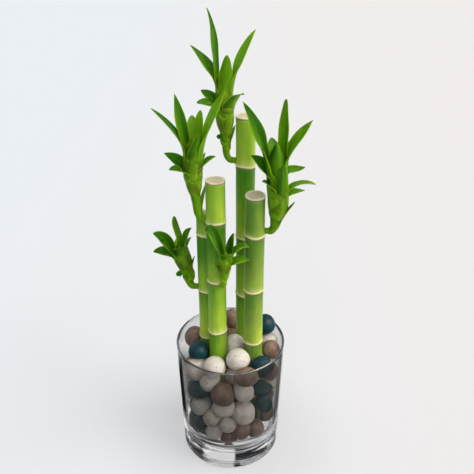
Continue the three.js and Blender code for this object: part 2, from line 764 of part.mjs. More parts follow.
function pebbles() {
  const draw = seededDraw(PEBBLE_SEED);
  const stones = SHOWN_PEBBLES.map(({ at, size, kind }) => new Pebble(at, size, kind, true, draw));
  for (let i = 0; i < HIDDEN_PEBBLES; i += 1) {
    const angle = draw() * 2 * Math.PI;
    const out = 32 * Math.sqrt(draw());
    const height = lerp(FLOOR_Z + 8, HIDDEN_CEILING, draw());
    const size = [0, 1, 2].map(() => lerp(...HIDDEN_SIZE, draw()));
    const kind = HIDDEN_KINDS[Math.floor(draw() * HIDDEN_KINDS.length)];
    const at = [out * Math.cos(angle), out * Math.sin(angle), height];
    stones.push(new Pebble(at, size, kind, false, draw));
  }
  settle(stones);
  joinSome(stones);
  for (const stone of stones) {
    stone.half = stone.half.map((half) => half * SWELL);
  }
  pressTogether(stones);
  const counts = {};
  const meshes = [];
  for (const stone of stones.filter(({ host }) => !host)) {
    const grown = stones.filter(({ host }) => host === stone).map((other) => {
      const offset = other.at.clone().sub(stone.at);
      return other.geometry().translate(...offset.toArray());
    });
    const own = stone.geometry();
    const geometry = stone.hosts ? fuse([own, ...grown]) : own;
    const { name, colour } = stone.kind;
    counts[name] = (counts[name] ?? 0) + 1;
    const label = `pebble_${name}_${String(counts[name]).padStart(2, "0")}`;
    meshes.push(node(label, geometry, colour, 0.55, stone.at.toArray()));
  }
  return meshes;
}

const luckyBamboo = new THREE.Group();
const vase = new THREE.Group();
vase.add(glassTumbler(), ...pebbles());
const plant = new THREE.Group();
for (const [name, stalk] of Object.entries(CANES)) {
  plant.add(cane(name, stalk), seal(name, stalk));
}
for (const [name, rows] of Object.entries(SHOOTS)) {
  plant.add(shoot(name, rows));
}
luckyBamboo.add(vase, plant);

export default luckyBamboo;
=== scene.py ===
"""A lucky bamboo in a glass tumbler of river pebbles.

+X is to the right, +Y away from the viewer and +Z up, from the middle of the glass's underside.
Sizes are in millimetres unless a comment says otherwise, and the meshes are in metres.
"""

import math
import random

import bmesh
import bpy
import numpy as np
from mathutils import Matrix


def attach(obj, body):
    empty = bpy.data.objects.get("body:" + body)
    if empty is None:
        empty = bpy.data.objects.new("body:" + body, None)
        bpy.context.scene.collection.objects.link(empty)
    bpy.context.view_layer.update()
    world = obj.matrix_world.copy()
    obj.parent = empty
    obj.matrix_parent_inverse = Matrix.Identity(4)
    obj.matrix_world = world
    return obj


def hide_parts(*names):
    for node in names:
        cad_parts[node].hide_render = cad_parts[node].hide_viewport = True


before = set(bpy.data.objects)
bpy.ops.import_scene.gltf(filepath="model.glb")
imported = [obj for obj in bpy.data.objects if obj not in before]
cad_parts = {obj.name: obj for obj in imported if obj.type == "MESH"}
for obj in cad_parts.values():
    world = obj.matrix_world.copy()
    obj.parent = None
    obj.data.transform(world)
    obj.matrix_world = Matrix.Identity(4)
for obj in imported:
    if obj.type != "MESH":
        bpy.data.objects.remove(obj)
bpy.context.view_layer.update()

MM = 0.001
SEED = 11

# Camera: place, near and far limits in metres, downward pitch and focal length, for a square
# picture
CAMERA_AT = np.array([5.06, -372.7, 387.9]) * MM
CAMERA_PITCH = math.radians(28.43)
CAMERA_SENSOR = 36.0
CAMERA_REACH = (0.01, 50)
FOCAL_SHARE = 610 / 474

# Glass tumbler
GLASS_HEIGHT = 98.4
RIM_RADIUS = 41.0
FOOT_RADIUS = 38.0
FOOT_EDGE = 1.6
FLOOR_Z = 19.0
FLOOR_CORNER = 7.0
WALL_AT_RIM = 1.5
WALL_AT_FLOOR = 2.6
GLASS_TINT = (0.89, 0.895, 0.89, 1.0)

# Outline of the glass: rows of radius and height under it, and of radius and dip of its floor
UNDERSIDE = ((0.02, 0.35), (20, 0.35), (30, 0.25), (33.5, 0.0))
FLOOR_DIPS = ((20, 0.05), (10, 0.12), (0.02, 0.15))
RIM_BAND = 4
CORNER_BAND = 2
PLAIN_WALL_FROM = 38
PLAIN_WALL_ROWS = 12
INSIDE_ROWS = 14
FOOT_STEPS = 9
CURVE_STEPS = 13
GLASS_SIDES = 144

# Harder gloss of the rim: its index, and how far below the top it starts and how fast it grows
RIM_COAT_IOR = 2.4
POLISH_FROM = 1.2
POLISH_FADE = 0.6

# Marks of the mould on the foot of the wall: waves, as middle height, spread and pitch, and rings
MOULDED_FROM = 2.6
MOULDED_TO = 34
MOULDED_ROWS = 120
WAVE_DEPTH = 0.06
WAVES = ((24, 6, 3.4), (5, 2, 2.3))
RING_HEIGHTS = (17.5, 21, 25.5, 30.5)
RING_DEPTH = 0.28
RING_HALF_WIDTH = 0.8

# Canes: plan position, top of the seal, joints from the top down, the lean of the cut top in
# degrees, how much painted shade deepens the green on the side away from the light, how brown and
# dull the skin is, and how deep the green is at the foot and the top of each length, from the
# lowest up, partly the cane's own colour and partly painted shade from the shoots and canes near it
CANES = {
    "back": dict(
        x=10.75, y=9, top=270, rings=(236.5, 182.5, 134.7, 84), slant=0, far_side_shade=0, dull=0,
        shades=((0.3, 0.9), (0.25, 0.95), (0.3, 1.0), (0.25, 1.05), (0.2, 0.5)),
    ),
    "front_left": dict(
        x=-9.1, y=-9, top=233, rings=(203.2, 157.4, 114.3, 66), slant=0, far_side_shade=0.2, dull=0,
        shades=((0.3, 0.7), (0.25, 0.65), (0.0, 0.7), (0.2, 1.1), (0.1, 0.55)),
    ),
    "front_right": dict(
        x=16.95, y=-12, top=223.5, rings=(195, 151, 106.6, 58), slant=6, far_side_shade=0.3, dull=0.28,
        shades=((0.3, 0.7), (0.3, 0.8), (0.05, 0.9), (0.25, 1.05), (0.55, 0.85)),
    ),
    "rear_left": dict(
        x=-16.8, y=5.5, top=201.5, rings=(186.4, 140, 99.3, 52), slant=0, far_side_shade=0, dull=0,
        shades=((0.3, 0.7), (0.2, 0.8), (0.0, 0.9), (0.3, 1.25), (0.3, 0.8)),
    ),
}
CANE_RADIUS = 6.6
CANE_SIDES = 56
CANE_OVAL = 0.1
CANE_WAVER = 0.05
CANE_WAVER_LENGTH = 13
STANDS_OVER_FLOOR = 0.3

# How far apart a cane's rows are, as distances to the nearest joint and steps
ROW_STEPS = ((3, 0.25), (9, 0.8), (math.inf, 3.0))

# How far the shading of the lowest and of the highest length runs on beyond the cane
SHADES_BELOW = 20
SHADES_ABOVE = 1

# Joint: its line's two waves, then bands, as how far they stand out, how far above the line they
# are and their half width, and a swelling that fades upwards from the lip
JOINT_WAVES = (0.4, 0.22)
JOINT_BANDS = ((0.36, 0, 0.55), (-0.26, -1.15, 0.45), (0.1, -2.3, 1.1))
JOINT_SWELL = 0.2
JOINT_SWELL_LENGTH = 3.0
JOINT_LIP = -0.4

# Marks round a joint, as how far above its line they are and their half width
PALE_MARK = (0, 0.95)
SCAR_MARK = (-1.35, 0.6)
WAX_MARK = (1.6, 2.4)
SCAR_SHARE = 0.9

# Painted shade on the foot of the canes among the pebbles
FOOT_SHADE_BELOW = 60
FOOT_SHADE_FADE = 12
FOOT_SHADE_SHARE = 0.92

# Seals: the side as rows beyond the seal's radius and above its base, then the rolled edge and
# the dished face, as rows inside its radius and below its top
SEAL_THICKNESS = 1.4
SEAL_OVERHANG = 0.08
SEAL_SIDE = ((-0.2, 0), (0, 0.15), (0.05, 0.6))
SEAL_EDGE = 0.4
SEAL_EDGE_RADIUS = 0.42
SEAL_DISH = ((0.9, 0.04), (1.3, 0.14))
SEAL_FACE_DEPTH = 0.18
SEAL_FACE_REACH = (4.8, 0.05)
SEAL_FACE_ROWS = 14
SEAL_FACE_RIPPLE = 0.02
SEAL_SEGMENTS = 64
SEAL_UNEVEN = 0.07
SEAL_LIP_IN = 0.75
SEAL_LIP_WIDTH = 0.5

# Shoots: how deep the body's green is, rows of its middle line with its radius, then each leaf
# as the height where it leaves the body, its tip, its width, the tip's angle above level and its
# roll, in degrees, how blunt its tip is, up to 1, and how much deeper its green is; both depths
# are partly own colour and partly painted shade where a body or leaf lies in shade
SHOOTS = {
    "back": dict(
        depth=-0.1,
        spine=(
            (3.1, 9, 239.5, 2.1), (0.3, 9, 240, 2.1), (-1.7, 9, 243.2, 2.2), (-2.2, 9, 250, 2.6),
            (-2.4, 9, 258, 3.6), (-2.7, 9, 267, 5.1), (-2.9, 9, 275, 5.8), (-3, 9, 282, 4.8),
            (-2.8, 9, 291, 5.1), (-2.7, 9, 297, 3.8), (-2.7, 9, 300, 1.2),
        ),
        leaves=(
            (290, (-13, 12, 335), 7.8, 66, -25, 0, 0),
            (287, (-24, 17, 312.5), 8.5, 38, -30, 0.1, 0),
            (285, (16, 3, 324), 10.8, 54, 55, 0, -0.25),
            (286, (-1, -3, 310.5), 8.5, 80, 0, 0.8, -0.2),
            (287, (-1.5, 23, 299.5), 10, 12, 0, 0.3, 0),
            (273, (-18, 14, 285), 11, 18, -25, 0.3, 0),
            (272, (-20, 1, 280.5), 9.5, -12, -30, 0.3, 0),
            (270, (9.5, 0, 286), 12.5, -8, -10, 0.2, 0),
            (272, (-5, 25, 281), 10.5, 0, 0, 0.3, 0),
            (250, (4, 14.5, 262), 5, 60, 0, 0, 0),
            (254, (-8.2, 7.5, 256), 4.4, -20, 80, 1, 0.4),
        ),
    ),
    "front_left_upper": dict(
        depth=0.03,
        spine=(
            (-16.8, -9, 205.2, 2.1), (-19.2, -9, 205.9, 2.3), (-20.8, -9, 209.5, 2.7),
            (-21.4, -9, 216, 3), (-22.2, -9, 223, 3.4), (-22.8, -9, 230, 4.5),
            (-23.2, -9, 237, 5.7), (-23.1, -9, 243, 5.8), (-22.8, -9, 249, 5.6),
            (-22.7, -9, 254, 4.6), (-22.6, -9, 257.5, 3), (-22.6, -9, 260, 1),
        ),
        leaves=(
            (250, (-47, -12, 281), 8.5, 40, -20, 0, 0.1),
            (251, (-33, -5, 288), 9.5, 78, -35, 0.2, 0),
            (252, (-23.5, 3, 272), 10, 62, 0, 0.8, 0),
            (252, (-17.7, -1, 276.5), 9, 74, 0, 0.7, 0),
            (249, (-1.6, -15, 293), 11.6, 57, 50, 0, -0.15),
            (246, (-18.5, -16, 266), 12.5, 84, 20, 0.8, -0.2),
            (236, (-41.5, -6, 250), 11.5, 12, -25, 0.2, 0.2),
            (235, (-37.5, -17, 243), 9.5, -18, -15, 0.2, -0.15),
            (236, (-8.4, -13, 250.5), 9, 15, 25, 0.1, 0.1),
            (239, (-15.4, 0, 248.5), 5, 55, 0, 0, 0),
            (236, (-24, 7, 241), 10, -5, 0, 0.3, 0),
            (209, (-15.6, -3.2, 227.5), 5, 75, 0, 0, 0),
        ),
    ),
    "front_right": dict(
        depth=0.08,
        spine=(
            (24.8, -12, 197.4, 2.1), (27.3, -12.4, 197.8, 2.1), (29.3, -13, 200.8, 2.4),
            (30.3, -13.5, 205, 3.4), (31.2, -14, 211, 5), (31.7, -14, 219, 6.2),
            (31.2, -14, 228, 6.3), (30.6, -14, 237, 6.2), (30, -14, 245, 6.2), (29.7, -14, 252, 6),
            (29.7, -14, 257, 4.8), (29.7, -14, 259, 1.6),
        ),
        leaves=(
            (242, (8.7, -18, 286.5), 12.8, 57, -60, 0, 0.05),
            (247, (35, -8, 285.5), 9.5, 85, 0, 0.8, 0.3),
            (243, (51, -16, 275), 11.5, 50, 35, 0, 0.25),
            (246, (27, -2, 259), 10, 40, 0, 0.6, 0.1),
            (233, (13.5, -17, 252.5), 12, 24, -45, 0.1, 0.15),
            (237, (48.5, -10, 242), 9, 8, 20, 0, 0.2),
            (238, (37.7, -11, 245.5), 4, 60, 0, 0, 0.3),
            (221, (33.5, -21.5, 248), 9, 95, 0, 0.9, 0.2),
            (225, (20.5, -24, 238), 9, 12, -25, 0.2, -0.1),
            (223, (54.5, -19, 234), 11, -25, 0, 0.1, 0.05),
            (221, (49.5, -8, 225), 7, -12, 15, 0, 0.3),
            (224, (30.5, 1.5, 229), 10, -5, 0, 0.3, 0),
            (203, (42.5, -16, 220.5), 8, 52, 0, 0, 0.5),
        ),
    ),
    "rear_left": dict(
        depth=0.15,
        spine=(
            (-24.6, 5.5, 142, 2.1), (-27.4, 5.5, 142.6, 2.1), (-29, 5.5, 145.6, 2.5),
            (-30, 5.5, 151, 3.8), (-31.6, 5.5, 158, 4.6), (-33.6, 5.5, 165, 5.5),
            (-35.3, 5.5, 170.5, 5.6), (-36, 5.5, 174, 4.4), (-36.4, 5.5, 177, 2.8),
            (-36.5, 5.5, 179, 1.2),
        ),
        leaves=(
            (171, (-38.5, 8.5, 198), 10.5, 90, 0, 0.9, 0.25),
            (168, (-53.5, 2.5, 187.5), 12, 12, -45, 0.6, 0.15),
            (166, (-55, 7, 170), 10.5, -35, -25, 0.1, 0.15),
            (171, (-26.5, 4.5, 191), 9, 30, 35, 0.1, 0.3),
            (171, (-27.6, 10.5, 180.5), 6, 35, 0, 0, 0.3),
            (170, (-36.5, -6, 180), 9, 20, 0, 0.5, 0.2),
            (171, (-37, 18, 176.5), 8.5, 0, 0, 0.3, 0.2),
            (154, (-25.4, 7, 167), 5.5, 70, 0, 0, 0.4),
            (152, (-38, 3.5, 152), 8, -70, 85, 1, 0.4),
        ),
    ),
    "front_left_lower": dict(
        depth=-0.1,
        spine=(
            (-5, -15.6, 157.2, 2), (-4.3, -17.7, 157.9, 2.1), (-4, -19, 161.5, 2.2),
            (-3.7, -19.7, 168, 2.8), (-3.3, -20.2, 175, 3.8), (-3, -20.6, 181, 4.4),
            (-3, -20.8, 184.5, 3.4), (-3, -20.8, 187, 1.2),
        ),
        leaves=(
            (178, (-15.8, -20.5, 202), 13, -55, -25, 0.4, -0.05),
            (180, (2.8, -17.5, 198.5), 8.5, 65, 0, 0.2, 0.45),
            (180, (12.9, -23, 190.5), 10.5, -50, 0, 0.2, 0.1),
            (173, (13.3, -23, 181), 10, -15, 10, 0.2, 0.1),
            (166, (-10.8, -22.5, 180), 5, 60, 0, 0, 0),
            (179, (-9.4, -23.5, 191), 4.5, 20, 0, 0, 0),
            (180, (-1.5, -31, 189), 8.5, 5, 0, 0.3, 0),
        ),
    ),
}

# Outline of a blade, and how it leaves the body, opens and curls
WIDEST_AT = 0.3
ROOT_SHARE = 0.8
TIP_SHARE = 0.02
BLADE_TAPER = 1.8
BLUNT_POWER = 0.45
OPENED_AT = 0.5
ROLLED_AT = 0.67
OPEN_CURL = 0.09
ROOT_DEPTH = 0.5
TIGHTEST_CURL = 3.0
RISE_ALONG = 0.3
RISE_OUT = 0.12
TIP_REACH = 0.34

# Make of the blades: rows, closer together towards the tip, columns, thickness and the rib's groove
BLADE_ROWS = 44
BLADE_SPACING = 1.5
BLADE_COLUMNS = 13
RIB_THICKNESS = 0.9
RIB_THINS_BY = 0.55
RIB_GROOVE = 0.16
GROOVE_HALF_WIDTH = 0.14
GROOVE_OUTSIDE = 0.6
EDGE_THICKNESS = 0.4

# Waves along a blade's edges: their height, for a full width, and their length
EDGE_WAVES = (0.12, 0.3)
EDGE_WAVE_LENGTH = 3.2
FULL_WIDTH = 10

# Sheaths: the clasping base of each leaf
SHEATH_ROWS = 18
SHEATH_LENGTH = 3.0
SHEATH_FULL_RADIUS = 5.0
SHEATH_FULL_WIDTH = 9
SHEATH_HALF_TURN = 2.0
SHEATH_STAND = 0.35
SHEATH_STANDS_MORE = 0.3
SHEATH_SUNK = 0.25
SHEATH_THICKNESS = 0.35
SHEATH_EDGE = 0.1
SHEATH_GROOVE = 0.1

# Stalks, drawn in at the crown so that the topmost leaves close them
STALK_ROWS = 70
STALK_SIDES = 36
ROOT_INTO_CANE = 2.5
CROWN_DEPTH = 3.0
CROWN_DRAWN_IN = 0.6

# Places along a leaf, for its greens: the foot of its sheath, of its blade and of the stalk
SHEATH_ALONG = 0.15
BLADE_ALONG = 0.25
STALK_ALONG = -0.25
STALK_ALONG_LENGTH = 0.6

# Steps of the stalk's middle line: to find its direction, and the place of a height on it
LINE_STEP = 1e-4
HALVINGS = 30

# Greens: how much painted shade deepens them on the side away from the light on the right
WINDOW = np.array([0.9, 0.35, 0.2])
SHADE_DEPTH = 0.28
SHADE_MIDDLE = 0.8
BODY_CONTRAST = 1.5
BLADE_CONTRAST = 4.0
SHEATH_CONTRAST = 0.25
BLADE_TONES = (-0.1, 0.16)

# Stones: subdivisions, the rounding of their edges in radians and the size that it takes off
# them, and the waves over them, as radians of wave to a radius of stone
STONE_DETAIL = 5
EDGE_ROUNDING = 0.11
EDGE_GIVE = 0.12
STONE_WAVES = (2.0, 3.1, 4.7, 7.5)
STONE_UNEVEN = 0.016
STONE_TONES = (0, 0.35)

# Stones that touch are parted where their faces fold inward by more than an angle in radians,
# once corners nearer than a distance in metres are one
STONE_FOLD = 0.35
STONE_FEWEST_FACES = 8
SAME_POINT = 1e-6

# Colours of the canes and their cut ends, as red, green and blue from 0 to 255
CANE_PALE = (182, 204, 60)
CANE_GREEN = (132, 172, 40)
CANE_DEEP = (64, 128, 8)
CANE_BLOOM = (206, 216, 150)
CANE_WEATHERED = (140, 110, 82)
CANE_FOOT_SHADE = (40, 48, 34)
CANE_SCAR = (92, 78, 36)
CANE_JOINT = (228, 218, 160)
CANE_SPECK = (96, 104, 40)
SEAL_PITH = (212, 196, 166)
SEAL_LIGHT = (230, 216, 188)
SEAL_GRAIN = (186, 164, 132)
SEAL_LIP = (238, 232, 206)
SEAL_BARK = (150, 128, 96)

# Colours of the leaves
LEAF_PALE = (134, 174, 28)
LEAF_GREEN = (98, 149, 12)
LEAF_DEEP = (34, 84, 3)
LEAF_EDGE = (168, 200, 44)
LEAF_RIB_AND_HIGHLIGHT = (150, 190, 70)
LEAF_VEIN = (24, 60, 8)

# Colours of each kind of stone, its light clouds, dark grain and flecks, and its roughness
STONES = {
    "white": ((220, 210, 198), (234, 226, 216), (176, 162, 150), (84, 72, 64), 0.5),
    "brown": ((134, 108, 94), (160, 132, 114), (76, 56, 46), (40, 30, 28), 0.38),
    "teal": ((10, 58, 64), (20, 76, 82), (4, 30, 36), (4, 18, 24), 0.34),
}

# Floor, in metres: its half width, its drop below the glass, the stretch from its cool left to
# its warm right, a painted tint of the cool and warm light, and the reach of the painted shadow
# near the glass, which dims its glow, a painted light that the floor gives off
FLOOR_HALF_WIDTH = 6.0
FLOOR_DROP = 0.0003
FLOOR_LEFT = (159, 162, 165)
FLOOR_RIGHT = (163, 160, 159)
FLOOR_TURNS_WARM = (-0.45, 0.45)
FLOOR_PAINTED_GLOW = 1.46
FLOOR_PAINTED_SHADOW = 0.82
FLOOR_PAINTED_SHADOW_REACH = (0.03, 0.11)
FLOOR_DEPTH = 0.2

# Lights: the way towards each one, its strength, its width in degrees and its colour
SUNS = {
    "key": ((1.0, -0.22, 0.8), 2.4, 45, (1.0, 0.96, 0.9)),
    "front": ((-0.25, -1.0, 0.9), 0.5, 30, (1.0, 0.98, 0.95)),
    "fill": ((-1.0, 0.5, 1.0), 0.45, 70, (0.92, 0.96, 1.0)),
}

# Sky, and how bright the ground below it is in front and behind
SKY_STRENGTH = 0.3
SKY_ABOVE = (238, 246, 255)
SKY_BELOW_FRONT = 0.4
SKY_BELOW_BACK = 2.6
SKY_BEHIND = (0.3, 0.55)
HORIZON = (-0.04, 0.02)

# Panels of the studio, which only the glass shows: sine of the lowest and highest rise, turn
# from the back to the right in radians, and brightness, with the width of their soft edges
PANELS = (
    (0.6, 0.9, -0.62, -0.1, 0.06),
    (0.6, 0.9, -0.05, 0.5, 2.2),
    (0.6, 0.9, 0.55, 1.3, 0.05),
    (-0.95, -0.66, -0.82, -0.1, 0.07),
    (-0.95, -0.64, 0.55, 1.3, 0.07),
    (-0.55, 0.01, 1.1, 2.7, 2.5),
    (0.6, 0.74, 1.9, 3.1, 24.0),
)
PANEL_EDGE = 0.03

UP = np.array([0.0, 0.0, 1.0])


def unit(vector):
    return vector / np.linalg.norm(vector)


def smooth(value):
    value = np.clip(value, 0, 1)
    return value * value * (3 - 2 * value)


def bell(distance, half_width):
    return np.exp(-((distance / half_width) ** 2))


def linear(red, green, blue):
    """The scene colour of a picture colour from 0 to 255"""
    parts = np.array([red, green, blue]) / 255
    low = parts / 12.92
    high = ((parts + 0.055) / 1.055) ** 2.4
    return tuple(float(v) for v in np.where(parts <= 0.04045, low, high)) + (1.0,)


def grey(value):
    return (value, value, value, 1.0)


class Shape:
    """Collects tubes of points, in millimetres, with named values at the points"""

    def __init__(self):
        self.points = []
        self.faces = []
        self.values = {}
        self.count = 0

    def add(self, points, faces, **values):
        self.points.append(points)
        self.faces.extend(tuple(i + self.count for i in face) for face in faces)
        for name, value in values.items():
            filled = np.broadcast_to(np.asarray(value, float), (len(points),))
            self.values.setdefault(name, []).append(filled)
        self.count += len(points)

    def tube(self, rings, **values):
        """A closed tube through rings of points, with a face over each end"""
        rows, sides = rings.shape[:2]
        faces = []
        for i in range(rows - 1):
            for j in range(sides):
                k = (j + 1) % sides
                faces.append((i * sides + j, i * sides + k, (i + 1) * sides + k, (i + 1) * sides + j))
        faces.append(tuple(range(sides - 1, -1, -1)))
        faces.append(tuple((rows - 1) * sides + j for j in range(sides)))
        flat = {name: np.broadcast_to(value, (rows, sides)).reshape(-1) for name, value in values.items()}
        self.add(rings.reshape(-1, 3), faces, **flat)

    def piece(self, name, node, material):
        mesh = bpy.data.meshes.new(name)
        mesh.from_pydata((np.concatenate(self.points) * MM).tolist(), [], self.faces)
        for key, value in self.values.items():
            layer = mesh.attributes.new(key, "FLOAT", "POINT")
            layer.data.foreach_set("value", np.concatenate(value).astype(np.float32))
        mesh.polygons.foreach_set("use_smooth", [True] * len(mesh.polygons))
        mesh.materials.append(material)
        mesh.validate()
        mesh.update()
        thing = bpy.data.objects.new(name, mesh)
        bpy.context.scene.collection.objects.link(thing)
        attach(thing, "root")
        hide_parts(node)


def lathe(outline, sides):
    """Rings of points round the Z axis, from rows of radius and height"""
    turn = np.linspace(0, 2 * math.pi, sides, endpoint=False)
    outline = np.asarray(outline, float)
    rings = np.empty((len(outline), sides, 3))
    rings[..., 0] = outline[:, :1] * np.cos(turn)
    rings[..., 1] = outline[:, :1] * np.sin(turn)
    rings[..., 2] = outline[:, 1:]
    return rings


class Nodes:
    """Short calls for a node tree"""

    def __init__(self, tree, coordinates):
        self.tree = tree
        self.place = tree.nodes.new("ShaderNodeTexCoord").outputs[coordinates]

    def link(self, source, target):
        if isinstance(source, (int, float, tuple)):
            target.default_value = source
        else:
            self.tree.links.new(source, target)

    def axes(self):
        """The place's X, Y and Z"""
        node = self.tree.nodes.new("ShaderNodeSeparateXYZ")
        self.link(self.place, node.inputs[0])
        return tuple(node.outputs)

    def math(self, operation, first, second=0.0, third=0.0):
        node = self.tree.nodes.new("ShaderNodeMath")
        node.operation = operation
        for source, target in zip((first, second, third), node.inputs):
            self.link(source, target)
        return node.outputs[0]

    def times(self, first, second):
        return self.math("MULTIPLY", first, second)

    def stirred(self, value, noise, amount):
        """The value, raised and lowered by a noise of 0 to 1"""
        return self.math("MULTIPLY_ADD", self.math("SUBTRACT", noise, 0.5), amount, value)

    def span(self, value, low, high, out_low=0.0, out_high=1.0):
        """The value's place between two limits, eased, as a number between two others"""
        node = self.tree.nodes.new("ShaderNodeMapRange")
        node.interpolation_type = "SMOOTHSTEP"
        for source, target in zip((value, low, high, out_low, out_high), node.inputs):
            self.link(source, target)
        return node.outputs[0]

    def mix(self, share, first, second):
        node = self.tree.nodes.new("ShaderNodeMix")
        node.data_type = "RGBA"
        self.link(share, node.inputs["Factor"])
        self.link(first, node.inputs[6])
        self.link(second, node.inputs[7])
        return node.outputs[2]

    def over(self, colour, share, tint):
        """The colour with a share of a picture colour laid over it"""
        return self.mix(share, colour, linear(*tint))


class Paint(Nodes):
    """The node tree of a material, with its shader"""

    def __init__(self, name, roughness=0.5, **settings):
        self.material = bpy.data.materials.new(name)
        self.material.use_nodes = True
        super().__init__(self.material.node_tree, "Object")
        self.shader = self.tree.nodes["Principled BSDF"]
        self.shader.inputs["Roughness"].default_value = roughness
        for key, value in settings.items():
            self.shader.inputs[key.replace("_", " ")].default_value = value

    def attribute(self, name):
        node = self.tree.nodes.new("ShaderNodeAttribute")
        node.attribute_name = name
        return node.outputs["Fac"]

    def noise(self, size, detail=3.0, stretch=1, roughness=0.55):
        """Noise with lumps of a size in millimetres, and longer upwards where it is stretched"""
        mapping = self.tree.nodes.new("ShaderNodeMapping")
        mapping.inputs["Scale"].default_value = [1 / (size * MM * part) for part in (1, 1, stretch)]
        self.link(self.place, mapping.inputs["Vector"])
        node = self.tree.nodes.new("ShaderNodeTexNoise")
        node.inputs["Scale"].default_value = 1
        node.inputs["Detail"].default_value = detail
        node.inputs["Roughness"].default_value = roughness
        self.link(mapping.outputs[0], node.inputs["Vector"])
        return node.outputs["Fac"]

    def dots(self, apart, low, high):
        """Scattered round dots, a distance in millimetres apart, faded between two shares of it"""
        node = self.tree.nodes.new("ShaderNodeTexVoronoi")
        node.inputs["Scale"].default_value = 1 / (apart * MM)
        self.link(self.place, node.inputs["Vector"])
        return self.span(node.outputs["Distance"], high, low)

    def bump(self, height, distance, strength):
        """Raises the surface by the height, of 0 to 1, times a distance in millimetres"""
        node = self.tree.nodes.new("ShaderNodeBump")
        node.inputs["Strength"].default_value = strength
        node.inputs["Distance"].default_value = distance * MM
        self.link(height, node.inputs["Height"])
        self.link(node.outputs[0], self.shader.inputs["Normal"])

    def finish(self, colour, roughness=None):
        self.link(colour, self.shader.inputs["Base Color"])
        if roughness is not None:
            self.link(roughness, self.shader.inputs["Roughness"])
        return self.material


def cane_paint():
    """Smooth green skin, palest at the foot of each length and darkest under a joint, partly painted
    shade
    """
    paint = Paint("cane_skin", Specular_IOR_Level=0.3)
    streaks = paint.noise(1.1, 4, stretch=22)
    blotches = paint.noise(9, stretch=2.2)
    # The rise holds each length's depth of green, partly painted shade, and the side's painted shade
    level = paint.stirred(paint.attribute("rise"), blotches, 0.55)
    level = paint.stirred(level, streaks, 0.35)
    colour = paint.mix(paint.span(level, 0.0, 0.5), linear(*CANE_PALE), linear(*CANE_GREEN))
    colour = paint.over(colour, paint.span(level, 0.45, 1.05), CANE_DEEP)
    bloom = paint.span(paint.noise(2.5, 4), 0.3, 0.7, 0.15, 0.6)
    colour = paint.over(colour, paint.times(paint.attribute("wax"), bloom), CANE_BLOOM)
    weather = paint.span(blotches, 0.35, 0.65, 0.5, 1.0)
    colour = paint.over(colour, paint.times(paint.attribute("dull"), weather), CANE_WEATHERED)
    # Painted shade on the foot, among the pebbles
    colour = paint.over(colour, paint.attribute("foot"), CANE_FOOT_SHADE)
    colour = paint.over(colour, paint.attribute("scar"), CANE_SCAR)
    colour = paint.over(colour, paint.attribute("joint"), CANE_JOINT)
    specks = paint.dots(2.6, 0.04, 0.1)
    colour = paint.over(colour, paint.times(specks, 0.35), CANE_SPECK)
    fibres = paint.noise(0.35, stretch=30)
    height = paint.math("ADD", paint.times(fibres, 0.5), paint.noise(3, stretch=4))
    paint.bump(height, 0.12, 0.6)
    return paint.finish(colour, paint.span(streaks, 0.3, 0.7, 0.3, 0.44))


def seal_paint():
    """Dried cut end: clouded, grainy tan pith with a pale lip and a darker side"""
    paint = Paint("cut_seal", Specular_IOR_Level=0.35)
    grain = paint.noise(0.7, 5)
    cloud = paint.noise(3.2)
    colour = paint.mix(paint.span(cloud, 0.3, 0.7), linear(*SEAL_PITH), linear(*SEAL_LIGHT))
    colour = paint.over(colour, paint.span(grain, 0.45, 0.75), SEAL_GRAIN)
    colour = paint.over(colour, paint.attribute("lip"), SEAL_LIP)
    colour = paint.over(colour, paint.attribute("side"), SEAL_BARK)
    paint.bump(grain, 0.25, 0.7)
    return paint.finish(colour, 0.55)


def leaf_paint():
    """Satin blades with lengthwise veins, paler at the sheath and the edges, and along the rib with a
    painted highlight
    """
    paint = Paint("leaf", Specular_IOR_Level=0.12, Subsurface_Weight=0.65)
    paint.shader.inputs["Subsurface Radius"].default_value = (0.8, 1.0, 0.1)
    paint.shader.inputs["Subsurface Scale"].default_value = 3.0 * MM
    across = paint.attribute("across")
    from_rib = paint.math("ABSOLUTE", across)
    veins = paint.math("SINE", paint.times(across, 46.0))
    veins = paint.math("MULTIPLY_ADD", veins, 0.5, 0.5)
    broad = paint.noise(5, stretch=3)
    # The tone holds random tone, the leaf's depth of green and painted shade away from the light
    level = paint.stirred(paint.attribute("tone"), broad, 0.5)
    level = paint.math("MULTIPLY_ADD", paint.attribute("along"), 0.6, level)
    colour = paint.mix(paint.span(level, -0.1, 0.35), linear(*LEAF_PALE), linear(*LEAF_GREEN))
    colour = paint.over(colour, paint.span(level, 0.3, 1.1), LEAF_DEEP)
    colour = paint.over(colour, paint.span(from_rib, 0.8, 1.0, 0.0, 0.24), LEAF_EDGE)
    # Paler rib, partly a painted highlight
    colour = paint.over(colour, paint.span(from_rib, 0.16, 0.0, 0.0, 0.14), LEAF_RIB_AND_HIGHLIGHT)
    colour = paint.over(colour, paint.times(veins, 0.16), LEAF_VEIN)
    height = paint.math("MULTIPLY_ADD", veins, 0.7, paint.noise(0.8, stretch=2))
    paint.bump(height, 0.12, 0.55)
    return paint.finish(colour, paint.span(broad, 0.3, 0.7, 0.32, 0.46))


def glass_paint():
    """Clear glass, fire-polished to a harder gloss along the rounded rim"""
    paint = Paint("clear_glass", 0.0, Transmission_Weight=1.0, IOR=1.5, Coat_IOR=RIM_COAT_IOR)
    paint.link(paint.attribute("polish"), paint.shader.inputs["Coat Weight"])
    return paint.finish(GLASS_TINT)


